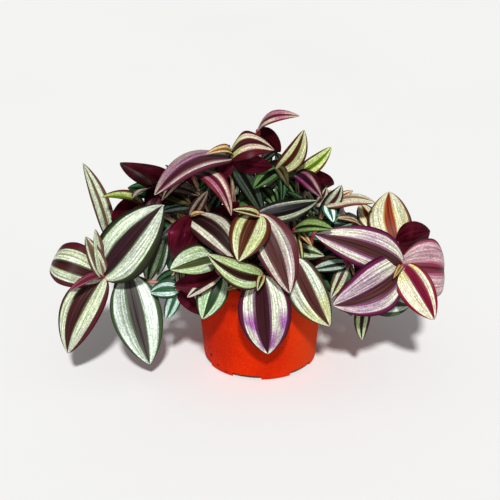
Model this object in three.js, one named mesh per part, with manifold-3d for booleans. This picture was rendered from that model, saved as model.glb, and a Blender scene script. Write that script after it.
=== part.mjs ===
// Potted tradescantia: a terracotta-coloured nursery pot, its soil, and the leafy stems that mound
// over the rim and trail round it. Millimetres, +Z up. The origin is the centre of the pot's underside,
// and -Y is the side that the plant shows to the viewer.
import * as THREE from "three";
import { mergeVertices } from "three/addons/utils/BufferGeometryUtils.js";
import Module from "manifold-3d";

const wasm = await Module();
wasm.setup();

// The pot, a 12 cm nursery pot.
const potHeight = 92;
const potBaseRadius = 50;
const potWallTopRadius = 56.4;
const potLipRadius = 60;
const potLipHeight = 13;
const potWall = 1.6;
const potFloor = 2;
const potEdge = 0.7;
const potSides = 36;

// The drain slots cut in the corner of the pot's base.
const drainCount = 6;
const drainWidth = 26;
const drainDepth = 9;
const drainHeight = 3.6;
const drainFirstAngle = -104;

// The soil, level with the step under the pot's lip.
const soilGap = 0.3;
const soilEdgeHeight = 76;
const soilCrown = 4;

// The stems and their holes in the soil.
const stemRadius = 2.2;
const stemFoot = 60;
const stemSides = 5;
const stepsPerInternode = 2;
const holeGap = 0.35;

// Every leaf blade.
const bladeThickness = 0.9;
const rootDepth = 1.5;
const outlineRise = 0.55;
const outlineFall = 0.78;

// Leafy stems. joints: the stem's swollen nodes, from the soil up, where the leaves sit.
// A leaf sits at joint `at`; tip: from that joint to the leaf's tip; wide: its greatest width;
// face: where its upper side looks, as degrees round from +X and degrees above level;
// bow: rise of the midrib over the straight line to the tip, as a share of that line;
// sweep: the midrib's bend to the side, seen from above as clockwise of the line, as such a share;
// fold: degrees by which each half of the blade is raised from flat.
const stems = {
  left: {
    joints: [[-30, -14], [-52, -24, 108], [-84, -32, 86], [-112, -34, 93], [-132, -46, 98]],
    leaves: [
      { at: 4, tip: [52, 4, 63], wide: 49, face: [-92, 35], bow: 0.06, fold: -6 },
      { at: 4, tip: [-46, 24, 2], wide: 38, face: [-120, 40], bow: 0.4, fold: -4 },
      { at: 4, tip: [-32, -12, -67], wide: 35, face: [-98, 15], bow: 0.1, sweep: 0.06, fold: -6 },
      { at: 3, tip: [17, -20, -75], wide: 44, face: [-90, 15], bow: 0.1, fold: -6 },
      { at: 3, tip: [-12, 8, -26], wide: 15, face: [-90, 15], bow: 0.08, fold: 0 },
      { at: 4, tip: [-25, -24, -2], wide: 12, face: [-90, 60], bow: 0.06, fold: 45 },
      { at: 4, tip: [-13, 6, 34], wide: 17, face: [-70, 20], bow: 0.05, fold: 30 },
      { at: 4, tip: [-5, 8, 40], wide: 11, face: [-70, 20], bow: 0.05, fold: 20 },
    ],
  },
  leftHigh: {
    joints: [[-36, 4], [-62, 2, 112], [-99, -14, 148], [-128, -20, 122]],
    leaves: [
      { at: 3, tip: [-18, -2, 68], wide: 16, face: [-65, 10], bow: 0.04, sweep: 0.03, fold: 15 },
      { at: 2, tip: [-30, -28, 20], wide: 17, face: [-90, 60], bow: 0.06, fold: 45 },
      { at: 2, tip: [-26, -12, -7], wide: 24, face: [100, 5], bow: 0.05, fold: 10 },
    ],
  },
  leftTop: {
    joints: [[-26, 20], [-48, 16, 120], [-85, -2, 159]],
    leaves: [
      { at: 2, tip: [-29, -32, 36], wide: 33, face: [80, 20], bow: -0.06, sweep: -0.13, fold: 10 },
      { at: 2, tip: [-19, -38, 8], wide: 22, face: [90, 45], bow: 0.05, fold: 10 },
      { at: 2, tip: [27, -28, -2], wide: 18, face: [-90, 45], bow: 0.05, fold: 0 },
      { at: 2, tip: [36, -26, 4], wide: 16, face: [-90, 60], bow: 0.1, fold: 10 },
      { at: 2, tip: [-10, -18, -16], wide: 18, face: [-90, 30], bow: 0.1, fold: 0 },
    ],
  },
  leftInner: {
    joints: [[-40, -8], [-62, -10, 104], [-83, -20, 124]],
    leaves: [
      { at: 2, tip: [-5, -3, -36], wide: 16, face: [-90, 15], bow: 0.08, fold: 0 },
      { at: 2, tip: [-14, -6, -42], wide: 18, face: [-110, 20], bow: 0.12, fold: 0 },
      { at: 2, tip: [18, -22, 17], wide: 15, face: [-90, 50], bow: 0.05, fold: 0 },
    ],
  },
  leftLow: {
    joints: [[-38, -24], [-46, -35, 107], [-69, -50, 88]],
    leaves: [
      { at: 2, tip: [-11, -2, -28], wide: 13, face: [-90, 10], bow: 0.08, fold: -10 },
      { at: 2, tip: [21, -6, -21], wide: 13, face: [90, 0], bow: -0.1, fold: 5 },
      { at: 2, tip: [-24, 4, -5], wide: 17, face: [-90, 30], bow: 0.05, sweep: 0.06, fold: 0 },
    ],
  },
  frontLeft: {
    joints: [[-22, -16], [-42, -28, 120], [-57, -48, 153]],
    leaves: [
      { at: 2, tip: [-14, -14, -32], wide: 30, face: [90, 0], bow: -0.35, fold: 20 },
      { at: 2, tip: [38, -34, -24], wide: 30, face: [-75, 40], bow: 0.12, sweep: -0.07, fold: -6 },
      { at: 2, tip: [12, -10, 8], wide: 7, face: [-90, 50], bow: 0.05, fold: 40 },
      { at: 2, tip: [14, 2, 22], wide: 11, face: [-90, 30], bow: 0.05, fold: 10 },
    ],
  },
  frontLeftLow: {
    joints: [[-24, -29], [-29, -44, 104], [-34, -60, 107], [-38, -66, 126]],
    leaves: [
      { at: 3, tip: [-34, -24, 0], wide: 28, face: [-90, 50], bow: 0.08, fold: 6 },
      { at: 2, tip: [-37, -8, -6], wide: 26, face: [90, 0], bow: -0.25, fold: 15 },
      { at: 2, tip: [-26, -18, -12], wide: 13, face: [-90, 40], bow: 0.05, fold: 10 },
      { at: 2, tip: [-14, -16, -33], wide: 26, face: [-95, 15], bow: 0.08, fold: -4 },
    ],
  },
  front: {
    joints: [[0, -34], [0, -54, 106], [1, -70, 110]],
    leaves: [
      { at: 2, tip: [5, -6, -69], wide: 44, face: [-90, 0], bow: 0.08, fold: 6 },
      { at: 2, tip: [-43, -28, 33], wide: 24, face: [-90, 40], bow: 0.04, sweep: -0.1, fold: 4 },
      { at: 2, tip: [-4, -16, -5], wide: 10, face: [-90, 40], bow: 0.05, fold: 40 },
      { at: 2, tip: [-30, -6, -10], wide: 10, face: [-90, 60], bow: 0.05, fold: 10 },
    ],
  },
  frontRight: {
    joints: [[26, -28], [32, -48, 106], [27, -62, 121]],
    leaves: [
      { at: 2, tip: [30, -8, -57], wide: 33, face: [-80, 10], bow: 0.08, sweep: 0.05, fold: -4 },
    ],
  },
  centre: {
    joints: [[-6, -14], [-2, -26, 122], [-3, -52, 156]],
    leaves: [
      { at: 2, tip: [-15, -38, -23], wide: 33, face: [-95, 45], bow: 0.06, fold: 8 },
      { at: 2, tip: [26, -32, -54], wide: 34, face: [-85, 25], bow: 0.08, sweep: -0.05, fold: 6 },
      { at: 2, tip: [-20, -12, 10], wide: 13, face: [-90, 40], bow: 0.08, fold: 45 },
      { at: 2, tip: [49, 12, 8], wide: 20, face: [-90, 45], bow: 0.03, sweep: 0.05, fold: 4 },
      { at: 1, tip: [24, 4, 26], wide: 20, face: [-80, 40], bow: 0.1, fold: 0 },
    ],
  },
  crown: {
    joints: [[-16, 4], [-22, 0, 135], [-25, -14, 192]],
    leaves: [
      { at: 2, tip: [-61, -36, -19], wide: 38, face: [-95, 85], bow: 0.19, fold: -8 },
      { at: 2, tip: [-20, -18, 9], wide: 10, face: [-90, 50], bow: 0.3, fold: 20 },
      { at: 2, tip: [36, -2, 7], wide: 30, face: [-90, 60], bow: 0.38, fold: -8 },
      { at: 2, tip: [-13, -12, -20], wide: 13, face: [90, 10], bow: -0.2, fold: 15 },
      { at: 2, tip: [35, -6, -6], wide: 20, face: [90, 10], bow: -0.1, fold: 5 },
      { at: 2, tip: [27, -10, -47], wide: 20, face: [-110, 10], bow: -0.08, fold: 0 },
      { at: 1, tip: [20, -18, 12], wide: 24, face: [-100, 50], bow: 0.1, fold: 0 },
    ],
  },
  arch: {
    joints: [[-32, 8], [-42, 0, 130], [-57, -20, 180]],
    leaves: [
      { at: 2, tip: [33, -28, -26], wide: 19, face: [-60, 60], bow: 0.33, fold: 0 },
      { at: 2, tip: [-24, -20, -16], wide: 12, face: [-90, 60], bow: 0.2, fold: 0 },
      { at: 1, tip: [24, -22, 26], wide: 20, face: [80, 20], bow: -0.1, fold: 5 },
    ],
  },
  top: {
    joints: [[2, 22], [0, 20, 150], [-2, 18, 204]],
    leaves: [
      { at: 2, tip: [34, -18, 19], wide: 15, face: [-90, 60], bow: 0.2, fold: 0 },
      { at: 2, tip: [19, -6, -17], wide: 20, face: [90, 30], bow: 0.05, fold: 5 },
      { at: 1, tip: [12, -28, -4], wide: 14, face: [-90, 60], bow: 0.1, fold: 10 },
      { at: 1, tip: [-20, -18, -14], wide: 20, face: [-120, 50], bow: 0.15, fold: 0 },
    ],
  },
  topRight: {
    joints: [[18, 10], [20, 8, 135], [14, -2, 176]],
    leaves: [
      { at: 2, tip: [22, 2, 35], wide: 19, face: [-80, 30], bow: 0.05, sweep: 0.12, fold: 10 },
      { at: 2, tip: [-20, -24, -7], wide: 19, face: [-90, 50], bow: 0.08, fold: 20 },
      { at: 2, tip: [3, -20, -22], wide: 9, face: [-60, 30], bow: 0.2, fold: 10 },
      { at: 2, tip: [9, -18, -8], wide: 10, face: [-90, 50], bow: 0.3, fold: 20 },
    ],
  },
  topBack: {
    joints: [[28, 24], [32, 20, 130], [31, 10, 168]],
    leaves: [
      { at: 2, tip: [29, 4, 23], wide: 15, face: [-90, 40], bow: 0.04, sweep: 0.09, fold: 8 },
      { at: 2, tip: [20, -30, -10], wide: 17, face: [-90, 55], bow: 0.2, fold: 0 },
      { at: 2, tip: [33, 14, -15], wide: 26, face: [90, 20], bow: -0.1, fold: 5 },
      { at: 1, tip: [4, -22, 12], wide: 12, face: [-90, 50], bow: 0.05, fold: 10 },
    ],
  },
  rightHigh: {
    joints: [[38, 2], [46, 4, 112], [57, -2, 144]],
    leaves: [
      { at: 2, tip: [11, -6, 21], wide: 14, face: [-90, 25], bow: 0.05, sweep: 0.08, fold: 20 },
      { at: 2, tip: [40, -8, 6], wide: 22, face: [-90, 80], bow: 0.14, fold: -10 },
      { at: 2, tip: [4, -20, -7], wide: 12, face: [-90, 50], bow: 0.05, fold: 10 },
      { at: 2, tip: [22, 4, 12], wide: 9, face: [-90, 45], bow: 0.05, fold: 20 },
      { at: 1, tip: [34, -6, 16], wide: 22, face: [-90, 50], bow: 0.12, fold: 0 },
    ],
  },
  right: {
    joints: [[34, -12], [60, -20, 114], [92, -30, 122], [117, -46, 108]],
    leaves: [
      { at: 3, tip: [-74, -16, 36], wide: 36, face: [-95, 20], bow: 0.14, sweep: 0.06, fold: -6 },
      { at: 3, tip: [-59, -38, -17], wide: 47, face: [-95, 5], bow: 0.06, sweep: -0.04, fold: 8 },
      { at: 3, tip: [26, -26, -37], wide: 30, face: [-85, 15], bow: 0.06, fold: 6 },
      { at: 3, tip: [40, 28, -19], wide: 50, face: [-58, 28], bow: 0.3, sweep: 0.02, fold: -4 },
      { at: 3, tip: [-9, -20, -2], wide: 8, face: [-90, 50], bow: 0.05, fold: 45 },
    ],
  },
  rightBack: {
    joints: [[40, 14], [59, 11, 114], [96, 3, 122], [117, -14, 114]],
    leaves: [
      { at: 3, tip: [-5, 36, 33], wide: 38, face: [-90, 40], bow: 0.08, sweep: -0.08, fold: -6 },
      { at: 3, tip: [29, 12, 6], wide: 33, face: [90, 0], bow: -0.1, fold: 5 },
      { at: 2, tip: [-8, 20, 13], wide: 18, face: [-90, 45], bow: 0.08, fold: 5 },
    ],
  },
  rightLow: {
    joints: [[42, -22], [49, -33, 107], [71, -48, 111], [89, -46, 76]],
    leaves: [
      { at: 3, tip: [-3, -8, -34], wide: 14, face: [-90, 10], bow: 0.06, sweep: 0.06, fold: 10 },
      { at: 3, tip: [38, 8, -10], wide: 24, face: [-90, 30], bow: 0.1, fold: 0 },
      { at: 2, tip: [-13, -12, -26], wide: 13, face: [-90, 30], bow: 0.05, fold: 15 },
      { at: 2, tip: [-29, -10, -1], wide: 13, face: [-90, 50], bow: 0.05, fold: 10 },
      { at: 2, tip: [5, -8, -45], wide: 15, face: [-90, 15], bow: 0.05, sweep: 0.09, fold: 0 },
    ],
  },
  innerRight: {
    joints: [[14, -22], [22, -34, 116], [28, -44, 140]],
    leaves: [
      { at: 2, tip: [29, -26, 12], wide: 17, face: [-90, 55], bow: 0.14, fold: 0 },
      { at: 2, tip: [6, -18, -26], wide: 9, face: [-90, 40], bow: 0.05, fold: 40 },
      { at: 2, tip: [13, -22, -5], wide: 8, face: [-90, 60], bow: 0.05, fold: 30 },
      { at: 1, tip: [30, -18, 4], wide: 18, face: [-90, 45], bow: 0.1, fold: 5 },
    ],
  },
};

// Stems at the back, each like one of the others, turned about the pot's axis and drawn in by `size`.
const backStems = {
  backLeft: { like: "left", turn: -78, size: 0.86 },
  backRight: { like: "right", turn: 66, size: 0.8 },
  backMiddle: { like: "rightLow", turn: 100, size: 0.85 },
  backHighLeft: { like: "leftHigh", turn: -36, size: 0.64 },
  backHighRight: { like: "frontLeft", turn: 190, size: 0.9 },
  backLow: { like: "frontLeftLow", turn: -129, size: 0.9 },
  backHang: { like: "front", turn: 177, size: 0.86 },
  backTopLeft: { like: "leftTop", turn: -40, size: 0.76 },
  backInner: { like: "leftInner", turn: -33, size: 1 },
  backSide: { like: "rightHigh", turn: 23, size: 0.87 },
  backCentre: { like: "centre", turn: 204, size: 1 },
  backTop: { like: "topBack", turn: 72, size: 0.95 },
  backRightLow: { like: "frontRight", turn: 98, size: 0.9 },
  backFold: { like: "frontRight", turn: 232.6, size: 0.85 },
  leftShort: { like: "innerRight", turn: 250, size: 0.9 },
};

const materials = {
  pot: new THREE.MeshStandardMaterial({ color: 0xd8401a, roughness: 0.6, metalness: 0 }),
  soil: new THREE.MeshStandardMaterial({ color: 0x2c2018, roughness: 0.95, metalness: 0 }),
  foliage: new THREE.MeshStandardMaterial({ color: 0x6f5a5c, roughness: 0.45, metalness: 0 }),
};

const radians = THREE.MathUtils.degToRad;

// A closed geometry as a solid that can be joined and cut.
function solidOf(geometry) {
  const bare = geometry.clone();
  bare.deleteAttribute("normal");
  bare.deleteAttribute("uv");
  const merged = mergeVertices(bare, 1e-4);
  return new wasm.Manifold(new wasm.Mesh({
    numProp: 3,
    vertProperties: merged.attributes.position.array,
    triVerts: new Uint32Array(merged.index.array),
  }));
}

// The solid without any hollow that its joined pieces close in, or any loose scrap: its largest body.
function filled(solid) {
  return solid.decompose().reduce((largest, body) => (body.volume() > largest.volume() ? body : largest));
}

function geometryOf(solid) {
  const mesh = solid.getMesh();
  const geometry = new THREE.BufferGeometry();
  geometry.setAttribute("position", new THREE.BufferAttribute(mesh.vertProperties, 3));
  geometry.setIndex(new THREE.BufferAttribute(mesh.triVerts, 1));
  geometry.computeVertexNormals();
  return geometry;
}

// A solid turned about the pot's axis from a profile of [radius, height] points, from the axis to the axis.
function turned(profile, sides) {
  const points = profile.map(([radius, height]) => new THREE.Vector2(radius, height));
  return solidOf(new THREE.LatheGeometry(points, sides).rotateX(Math.PI / 2));
}

// The radius of the pot's outer wall at a height below the lip.
function potRadiusAt(height) {
  const wallTop = potHeight - potLipHeight;
  return potBaseRadius + ((potWallTopRadius - potBaseRadius) * height) / wallTop;
}

// The radius of the pot's inside at a height below the lip.
function potInnerRadiusAt(height) {
  return potRadiusAt(height) - potWall;
}

function makePot() {
  const step = potHeight - potLipHeight;
  const lipInner = potLipRadius - potWall;
  const shell = turned([
    [0, 0],
    [potBaseRadius - potEdge, 0],
    [potRadiusAt(potEdge), potEdge],
    [potWallTopRadius, step],
    [potLipRadius - potEdge, step + potEdge],
    [potLipRadius, potHeight - potEdge],
    [potLipRadius - potEdge, potHeight],
    [lipInner, potHeight - potEdge],
    [lipInner - potEdge, step + potEdge],
    [potInnerRadiusAt(step), step],
    [potInnerRadiusAt(potFloor), potFloor],
    [0, potFloor],
  ], potSides);
  return drains().reduce((pot, drain) => pot.subtract(drain), shell);
}

// One box for each drain slot, reaching past the corner of the base.
function drains() {
  return Array.from({ length: drainCount }, (_, i) => {
    const angle = radians(drainFirstAngle + (i * 360) / drainCount);
    const box = new THREE.BoxGeometry(drainDepth, drainWidth, 2 * drainHeight);
    box.translate(potBaseRadius - drainDepth / 3, 0, 0);
    return solidOf(box.rotateZ(angle));
  });
}

function makeSoil(holes) {
  const inside = (height) => potInnerRadiusAt(height) - soilGap;
  const bottom = potFloor + soilGap;
  const soil = turned([
    [0, bottom],
    [inside(bottom), bottom],
    [inside(soilEdgeHeight), soilEdgeHeight],
    [inside(soilEdgeHeight) * 0.6, soilEdgeHeight + soilCrown * 0.7],
    [0, soilEdgeHeight + soilCrown],
  ], potSides);
  return holes.reduce((left, hole) => left.subtract(hole), soil);
}

// A stem like another, turned about the pot's axis and drawn in towards the soil's middle.
function turnedStem({ like, turn, size }) {
  const angle = radians(turn);
  const placed = ([x, y, ...height]) => [
    size * (x * Math.cos(angle) - y * Math.sin(angle)),
    size * (x * Math.sin(angle) + y * Math.cos(angle)),
    ...height,
  ];
  return {
    joints: stems[like].joints.map(placed)
      .map(([x, y, ...height]) => [x, y, ...height.map((z) => soilEdgeHeight + size * (z - soilEdgeHeight))]),
    leaves: stems[like].leaves.map((leaf) => ({
      ...leaf,
      tip: placed(leaf.tip).map((value, i) => (i === 2 ? size * value : value)),
      wide: size * leaf.wide,
      face: [leaf.face[0] + turn, leaf.face[1]],
    })),
  };
}

// A stem's joints as points, its foot straight down into the soil.
function jointPoints(joints) {
  const [[footX, footY], ...rest] = joints;
  return [[footX, footY, stemFoot], ...rest].map((joint) => new THREE.Vector3(...joint));
}

function stemTube(points, radius) {
  const section = new THREE.Shape();
  for (let i = 0; i < stemSides; i += 1) {
    const angle = (i * 2 * Math.PI) / stemSides;
    section[i ? "lineTo" : "moveTo"](radius * Math.cos(angle), radius * Math.sin(angle));
  }
  const steps = stepsPerInternode * (points.length - 1);
  const path = new THREE.CatmullRomCurve3(points);
  return solidOf(new THREE.ExtrudeGeometry(section, { steps, bevelEnabled: false, extrudePath: path }));
}

// Half the blade's width, as a share of its greatest, at a share of the way to the tip.
function outline(share) {
  const widest = outlineRise / (outlineRise + outlineFall);
  const shape = (s) => s ** outlineRise * (1 - s) ** outlineFall;
  return shape(share) / shape(widest);
}

// One leaf blade: rows of three points, left edge, midrib and right edge, above and below.
function bladeSolid(joint, leaf) {
  const tip = new THREE.Vector3(...leaf.tip);
  const along = tip.clone().normalize();
  const long = tip.length() + rootDepth;
  const [turn, lift] = leaf.face.map(radians);
  const up = new THREE.Vector3(Math.cos(turn) * Math.cos(lift), Math.sin(turn) * Math.cos(lift), Math.sin(lift));
  up.addScaledVector(along, -up.dot(along)).normalize();
  const side = new THREE.Vector3().crossVectors(along, up);
  const root = joint.clone().addScaledVector(along, -rootDepth);
  const fold = radians(leaf.fold);
  const sweep = leaf.sweep ?? 0;
  const rows = leaf.wide > 24 ? 5 : leaf.wide > 12 ? 4 : 3;

  const positions = [];
  for (let row = 0; row <= rows; row += 1) {
    const share = (1 - Math.cos((Math.PI * row) / rows)) / 2;
    const slope = Math.atan(4 * leaf.bow * (1 - 2 * share));
    const normal = up.clone().multiplyScalar(Math.cos(slope)).addScaledVector(along, -Math.sin(slope));
    const half = (leaf.wide / 2) * outline(share);
    for (const across of row === 0 || row === rows ? [0] : [-1, 0, 1]) {
      const top = root.clone()
        .addScaledVector(along, long * share)
        .addScaledVector(up, 4 * leaf.bow * long * share * (1 - share))
        .addScaledVector(side, 4 * sweep * long * share * (1 - share))
        .addScaledVector(side, across * half * Math.cos(fold))
        .addScaledVector(normal, Math.abs(across) * half * Math.sin(fold));
      const under = top.clone().addScaledVector(normal, -bladeThickness);
      positions.push(...top, ...under);
    }
  }

  // Point numbers: the root pair, then three pairs a row, then the tip pair.
  const pair = (row, across) => {
    if (row === 0) return 0;
    if (row === rows) return 2 + 6 * (rows - 1);
    return 2 + 6 * (row - 1) + 2 * across;
  };
  const index = [];
  const quad = (a, b, c, d) => {
    for (const [p, q, r] of [[a, b, c], [a, c, d]]) if (p !== q && q !== r && p !== r) index.push(p, q, r);
  };
  for (let row = 0; row < rows; row += 1) {
    for (const across of [0, 1]) {
      const [a, b] = [pair(row, across), pair(row, across + 1)];
      const [c, d] = [pair(row + 1, across + 1), pair(row + 1, across)];
      quad(a, b, c, d);
      quad(a + 1, d + 1, c + 1, b + 1);
    }
    const [near, far] = [0, 2].map((across) => [pair(row, across), pair(row + 1, across)]);
    quad(near[0], near[1], near[1] + 1, near[0] + 1);
    quad(far[0], far[0] + 1, far[1] + 1, far[1]);
  }
  const blade = new THREE.BufferGeometry();
  blade.setAttribute("position", new THREE.Float32BufferAttribute(positions, 3));
  blade.setIndex(index);
  return solidOf(blade);
}

function makeStem({ joints, leaves }) {
  const points = jointPoints(joints);
  const blades = leaves.map((leaf) => bladeSolid(points[leaf.at], leaf));
  return filled(blades.reduce((stem, blade) => stem.add(blade), stemTube(points, stemRadius)));
}

const plant = new THREE.Group();

function addNode(name, solid, material) {
  const mesh = new THREE.Mesh(geometryOf(solid), material);
  mesh.name = name;
  plant.add(mesh);
}

const backs = Object.entries(backStems).map(([name, stem]) => [name, turnedStem(stem)]);
const allStems = [...Object.entries(stems), ...backs];
const holes = allStems.map(([, { joints }]) => stemTube(jointPoints(joints), stemRadius + holeGap));
addNode("pot", makePot(), materials.pot);
addNode("soil", makeSoil(holes), materials.soil);
for (const [name, stem] of allStems) {
  addNode(`leafy_stem_${name}`, makeStem(stem), materials.foliage);
}

export default plant;
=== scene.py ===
# Potted tradescantia: silver, green, violet and wine-red leaves over a terracotta-coloured nursery pot.
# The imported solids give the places. The pot, the soil and every leafy stem get their fine form here.
import bpy
import math
import numpy as np
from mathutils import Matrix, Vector
from mathutils.bvhtree import BVHTree


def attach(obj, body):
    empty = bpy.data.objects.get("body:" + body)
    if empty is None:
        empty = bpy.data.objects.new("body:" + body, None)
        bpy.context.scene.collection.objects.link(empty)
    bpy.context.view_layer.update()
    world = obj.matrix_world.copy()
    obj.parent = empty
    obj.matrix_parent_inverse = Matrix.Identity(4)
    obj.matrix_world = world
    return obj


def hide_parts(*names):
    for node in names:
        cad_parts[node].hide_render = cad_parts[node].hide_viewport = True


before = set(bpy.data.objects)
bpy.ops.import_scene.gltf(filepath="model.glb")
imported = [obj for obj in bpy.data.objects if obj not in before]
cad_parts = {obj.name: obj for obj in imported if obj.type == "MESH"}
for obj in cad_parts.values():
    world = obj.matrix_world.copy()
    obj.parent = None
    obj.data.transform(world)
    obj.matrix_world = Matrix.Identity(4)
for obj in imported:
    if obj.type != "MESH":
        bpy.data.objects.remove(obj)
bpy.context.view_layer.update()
mm = 0.001


def colour(red, green, blue):
    # a colour as a paint chart gives it, 0 to 255, for the shaders
    parts = [part / 255 for part in (red, green, blue)]
    return tuple(p / 12.92 if p <= 0.04045 else ((p + 0.055) / 1.055) ** 2.4 for p in parts) + (1.0,)


def makeActive(thing=None):
    # back to object mode, with this object alone selected, or none
    if bpy.context.object and bpy.context.object.mode != "OBJECT":
        bpy.ops.object.mode_set(mode="OBJECT")
    bpy.ops.object.select_all(action="DESELECT")
    if thing:
        thing.select_set(True)
        bpy.context.view_layer.objects.active = thing


# The finishes. In a finish's "look", a soft step is given as where it starts and ends, and its values before and
# after unless they are 0 and 1. A noise on a leaf or a stem is given as how often it repeats across and along it,
# its detail and its roughness, and any other noise as its scale, detail and roughness.
class Paint:
    # a material and short ways to add its nodes
    def __init__(self, name, look):
        self.look = look
        self.material = bpy.data.materials.new(name)
        self.material.use_nodes = True
        self.tree = self.material.node_tree
        self.shader = self.tree.nodes["Principled BSDF"].inputs

    def node(self, kind, inputs=None, **settings):
        made = self.tree.nodes.new("ShaderNode" + kind)
        for key, value in settings.items():
            setattr(made, key, value)
        for key, value in (inputs or {}).items():
            self.put(made.inputs[key], value)
        return made

    def put(self, socket, value):
        if isinstance(value, bpy.types.NodeSocket):
            self.tree.links.new(value, socket)
        else:
            socket.default_value = value

    def maths(self, operation, a, b=0.0, c=0.0):
        return self.node("Math", {0: a, 1: b, 2: c}, operation=operation).outputs[0]

    def plus(self, a, b):
        return self.maths("ADD", a, b)

    def minus(self, a, b):
        return self.maths("SUBTRACT", a, b)

    def times(self, a, b):
        return self.maths("MULTIPLY", a, b)

    def mix(self, share, a, b, blend="MIX"):
        return self.node("Mix", {0: share, 6: a, 7: b}, data_type="RGBA", blend_type=blend).outputs[2]

    def brighten(self, tone, amount):
        grey = self.node("CombineColor", {0: amount, 1: amount, 2: amount}).outputs[0]
        return self.mix(1.0, tone, grey, "MULTIPLY")

    def step(self, value, low, high, start=0.0, end=1.0):
        limits = {0: value, 1: low, 2: high, 3: start, 4: end}
        return self.node("MapRange", limits, interpolation_type="SMOOTHSTEP").outputs[0]

    def by(self, value, name):
        return self.step(value, *self.look[name])

    def noise(self, place, scale, detail=2.0, roughness=0.5):
        inputs = {"Vector": place, "Scale": scale, "Detail": detail, "Roughness": roughness}
        return self.node("TexNoise", inputs).outputs["Fac"]

    def here(self):
        return self.node("TexCoord").outputs["Object"]

    def noiseHere(self, name):
        return self.noise(self.here(), *self.look[name])

    def data(self, name):
        return self.node("Attribute", attribute_name=name).outputs

    def onLeaf(self):
        # the shares across and along the leaf
        return self.node("SeparateXYZ", {0: self.node("UVMap", uv_map="leafMap").outputs[0]}).outputs

    def noiseOnLeaf(self, name, seed):
        across, along, detail, roughness = self.look[name]
        spot = self.onLeaf()
        place = {0: self.times(spot[0], across), 1: self.times(spot[1], along), 2: seed}
        return self.noise(self.node("CombineXYZ", place).outputs[0], 1.0, detail, roughness)

    def finish(self, tone, texture, height=None):
        # the colour, the roughness and gloss, and the bump, given as its strength and depth
        self.put(self.shader["Base Color"], tone)
        self.put(self.shader["Roughness"], self.by(texture, "roughness"))
        self.shader["Specular IOR Level"].default_value = self.look.get("gloss", 0.5)
        strength, depth = self.look["bump"]
        bump = self.node("Bump", {"Height": height or texture, "Strength": strength, "Distance": depth})
        self.put(self.shader["Normal"], bump.outputs[0])
        return self.material


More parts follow.
